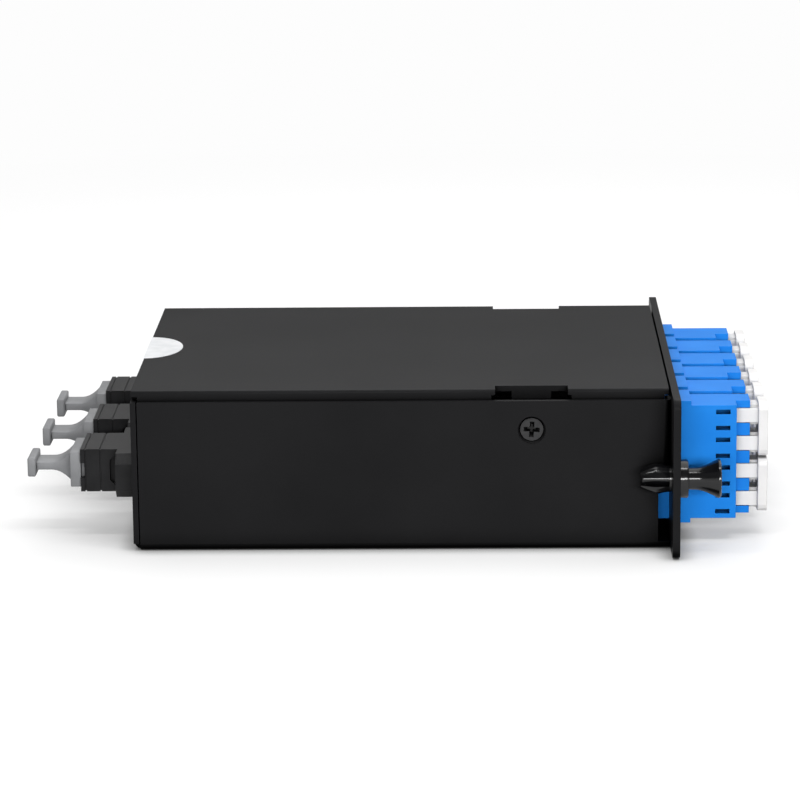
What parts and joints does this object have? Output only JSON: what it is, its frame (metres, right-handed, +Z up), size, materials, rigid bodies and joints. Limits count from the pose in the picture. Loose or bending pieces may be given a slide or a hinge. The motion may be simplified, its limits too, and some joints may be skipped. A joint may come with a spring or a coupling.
{
  "type": "fibre cassette",
  "caption": "Low sheet-metal fibre cassette with stacked capped ports across a front plate, capped multi-fibre ports at the rear and push-pull latches in its ears.",
  "frame": {"origin": "centre of the tray's underside, under the middle of the housing's length and width", "axes": "+X towards the front plate and its ports, +Y to the right seen from the front, +Z up"},
  "size_m": [0.1631, 0.111, 0.0354],
  "materials": {
    "grey_powder_coat": "fine satin powder coat",
    "dark_screw": "blackened steel",
    "plated_steel": "zinc-plated",
    "silver_foil": "thin silver film",
    "blue_plastic": "moulded, slight sheen",
    "white_plastic": "moulded, slight sheen",
    "ceramic": "polished ceramic",
    "black_plastic": "moulded, satin",
    "pale_grey_plastic": "moulded, satin",
    "dark_jacket": "smooth cable jacket",
    "latch_plastic": "glossy black nylon"
  },
  "bodies": {
    "housing": {"base_tray": "grey_powder_coat", "top_cover": "grey_powder_coat", "front_plate": "grey_powder_coat", "cover_screws": "dark_screw", "clinch_nuts": "plated_steel", "round_label": "silver_foil", "lc_adapter_1": "blue_plastic", "lc_adapter_2": "blue_plastic", "lc_adapter_3": "blue_plastic", "lc_adapter_4": "blue_plastic", "lc_adapter_5": "blue_plastic", "lc_adapter_6": "blue_plastic", "inner_lc_plugs_1": "blue_plastic", "inner_lc_plugs_2": "blue_plastic", "inner_lc_plugs_3": "blue_plastic", "inner_lc_plugs_4": "blue_plastic", "inner_lc_plugs_5": "blue_plastic", "inner_lc_plugs_6": "blue_plastic", "alignment_sleeves": "ceramic", "mpo_adapter_1": "black_plastic", "mpo_adapter_2": "black_plastic", "mpo_adapter_3": "black_plastic", "mpo_clip_1": "plated_steel", "mpo_clip_2": "plated_steel", "mpo_clip_3": "plated_steel", "inner_mpo_plug_1": "black_plastic", "inner_mpo_plug_2": "black_plastic", "inner_mpo_plug_3": "black_plastic", "fanout_sleeve_1": "black_plastic", "fanout_sleeve_2": "black_plastic", "fanout_sleeve_3": "black_plastic", "fibre_loom_1": "dark_jacket", "fibre_loom_2": "dark_jacket", "fibre_loom_3": "dark_jacket", "latch_grommet_left": "latch_plastic", "latch_grommet_right": "latch_plastic"},
    "lc_cap_1_upper": {"lc_cap_1_upper": "white_plastic"},
    "lc_cap_1_lower": {"lc_cap_1_lower": "white_plastic"},
    "lc_cap_2_upper": {"lc_cap_2_upper": "white_plastic"},
    "lc_cap_2_lower": {"lc_cap_2_lower": "white_plastic"},
    "lc_cap_3_upper": {"lc_cap_3_upper": "white_plastic"},
    "lc_cap_3_lower": {"lc_cap_3_lower": "white_plastic"},
    "lc_cap_4_upper": {"lc_cap_4_upper": "white_plastic"},
    "lc_cap_4_lower": {"lc_cap_4_lower": "white_plastic"},
    "lc_cap_5_upper": {"lc_cap_5_upper": "white_plastic"},
    "lc_cap_5_lower": {"lc_cap_5_lower": "white_plastic"},
    "lc_cap_6_upper": {"lc_cap_6_upper": "white_plastic"},
    "lc_cap_6_lower": {"lc_cap_6_lower": "white_plastic"},
    "mpo_cap_1": {"mpo_cap_1": "pale_grey_plastic"},
    "mpo_cap_2": {"mpo_cap_2": "pale_grey_plastic"},
    "mpo_cap_3": {"mpo_cap_3": "pale_grey_plastic"},
    "latch_plunger_left": {"latch_plunger_left": "latch_plastic"},
    "latch_plunger_right": {"latch_plunger_right": "latch_plastic"}
  },
  "joints": [
    {"name": "lc_cap_1_upper_pull", "type": "slide", "parent": "housing", "child": "lc_cap_1_upper", "axis": [1, 0, 0], "range_m": [0, 0.015]},
    {"name": "lc_cap_1_lower_pull", "type": "slide", "parent": "housing", "child": "lc_cap_1_lower", "axis": [1, 0, 0], "range_m": [0, 0.015]},
    {"name": "lc_cap_2_upper_pull", "type": "slide", "parent": "housing", "child": "lc_cap_2_upper", "axis": [1, 0, 0], "range_m": [0, 0.015]},
    {"name": "lc_cap_2_lower_pull", "type": "slide", "parent": "housing", "child": "lc_cap_2_lower", "axis": [1, 0, 0], "range_m": [0, 0.015]},
    {"name": "lc_cap_3_upper_pull", "type": "slide", "parent": "housing", "child": "lc_cap_3_upper", "axis": [1, 0, 0], "range_m": [0, 0.015]},
    {"name": "lc_cap_3_lower_pull", "type": "slide", "parent": "housing", "child": "lc_cap_3_lower", "axis": [1, 0, 0], "range_m": [0, 0.015]},
    {"name": "lc_cap_4_upper_pull", "type": "slide", "parent": "housing", "child": "lc_cap_4_upper", "axis": [1, 0, 0], "range_m": [0, 0.015]},
    {"name": "lc_cap_4_lower_pull", "type": "slide", "parent": "housing", "child": "lc_cap_4_lower", "axis": [1, 0, 0], "range_m": [0, 0.015]},
    {"name": "lc_cap_5_upper_pull", "type": "slide", "parent": "housing", "child": "lc_cap_5_upper", "axis": [1, 0, 0], "range_m": [0, 0.015]},
    {"name": "lc_cap_5_lower_pull", "type": "slide", "parent": "housing", "child": "lc_cap_5_lower", "axis": [1, 0, 0], "range_m": [0, 0.015]},
    {"name": "lc_cap_6_upper_pull", "type": "slide", "parent": "housing", "child": "lc_cap_6_upper", "axis": [1, 0, 0], "range_m": [0, 0.015]},
    {"name": "lc_cap_6_lower_pull", "type": "slide", "parent": "housing", "child": "lc_cap_6_lower", "axis": [1, 0, 0], "range_m": [0, 0.015]},
    {"name": "mpo_cap_1_pull", "type": "slide", "parent": "housing", "child": "mpo_cap_1", "axis": [-1, 0, 0], "range_m": [0, 0.012]},
    {"name": "mpo_cap_2_pull", "type": "slide", "parent": "housing", "child": "mpo_cap_2", "axis": [-1, 0, 0], "range_m": [0, 0.012]},
    {"name": "mpo_cap_3_pull", "type": "slide", "parent": "housing", "child": "mpo_cap_3", "axis": [-1, 0, 0], "range_m": [0, 0.012]},
    {"name": "latch_pull_left", "type": "slide", "parent": "housing", "child": "latch_plunger_left", "axis": [1, 0, 0], "range_m": [0, 0.005]},
    {"name": "latch_pull_right", "type": "slide", "parent": "housing", "child": "latch_plunger_right", "axis": [1, 0, 0], "range_m": [0, 0.005]}
  ]
}
